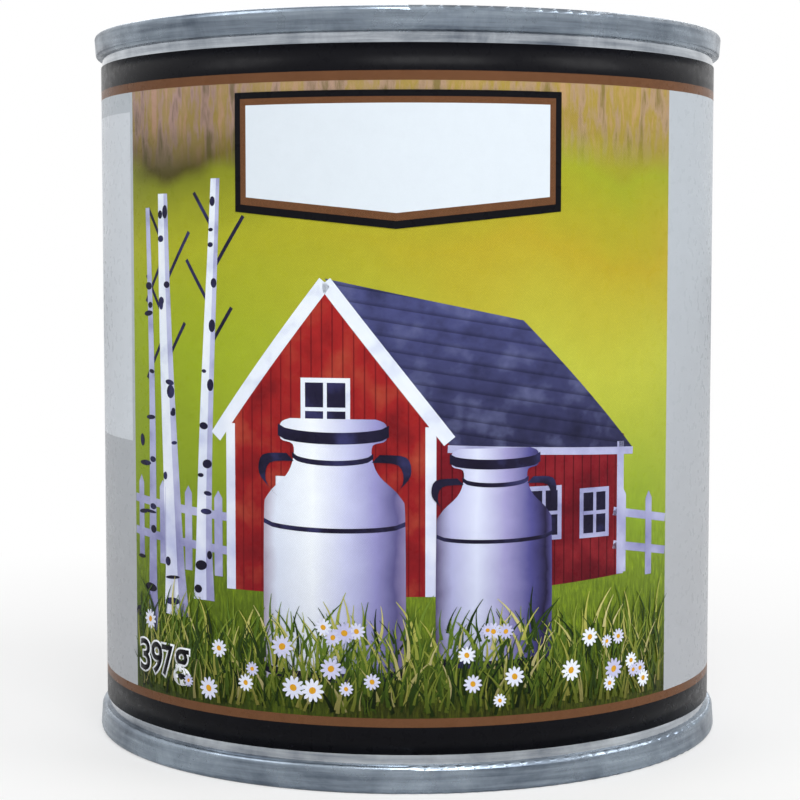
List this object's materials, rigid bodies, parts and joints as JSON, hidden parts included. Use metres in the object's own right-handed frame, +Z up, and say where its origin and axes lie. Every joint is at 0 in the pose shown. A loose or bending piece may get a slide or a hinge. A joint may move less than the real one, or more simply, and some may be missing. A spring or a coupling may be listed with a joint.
{
  "type": "condensed milk can",
  "caption": "Short round sealed food can with rolled double seams at both ends, beaded ends and a paper label sleeve, standing upright.",
  "frame": {"origin": "centre of the base, on the surface that the can stands on", "axes": "+Z up along the can's axis, from the bottom seam to the top seam; the label's front faces -Y, and the label's lap is at the back, at +Y"},
  "size_m": [0.0748, 0.0748, 0.0825],
  "materials": {
    "tinplate_wall": "bright tinplate",
    "tinplate_end": "satin tinplate with fine scratches",
    "paper_label": "glossy coated paper, printed in colour"
  },
  "bodies": {
    "root": {"can_body": "tinplate_wall", "top_end": "tinplate_end", "bottom_end": "tinplate_end", "label": "paper_label"}
  },
  "joints": []
}
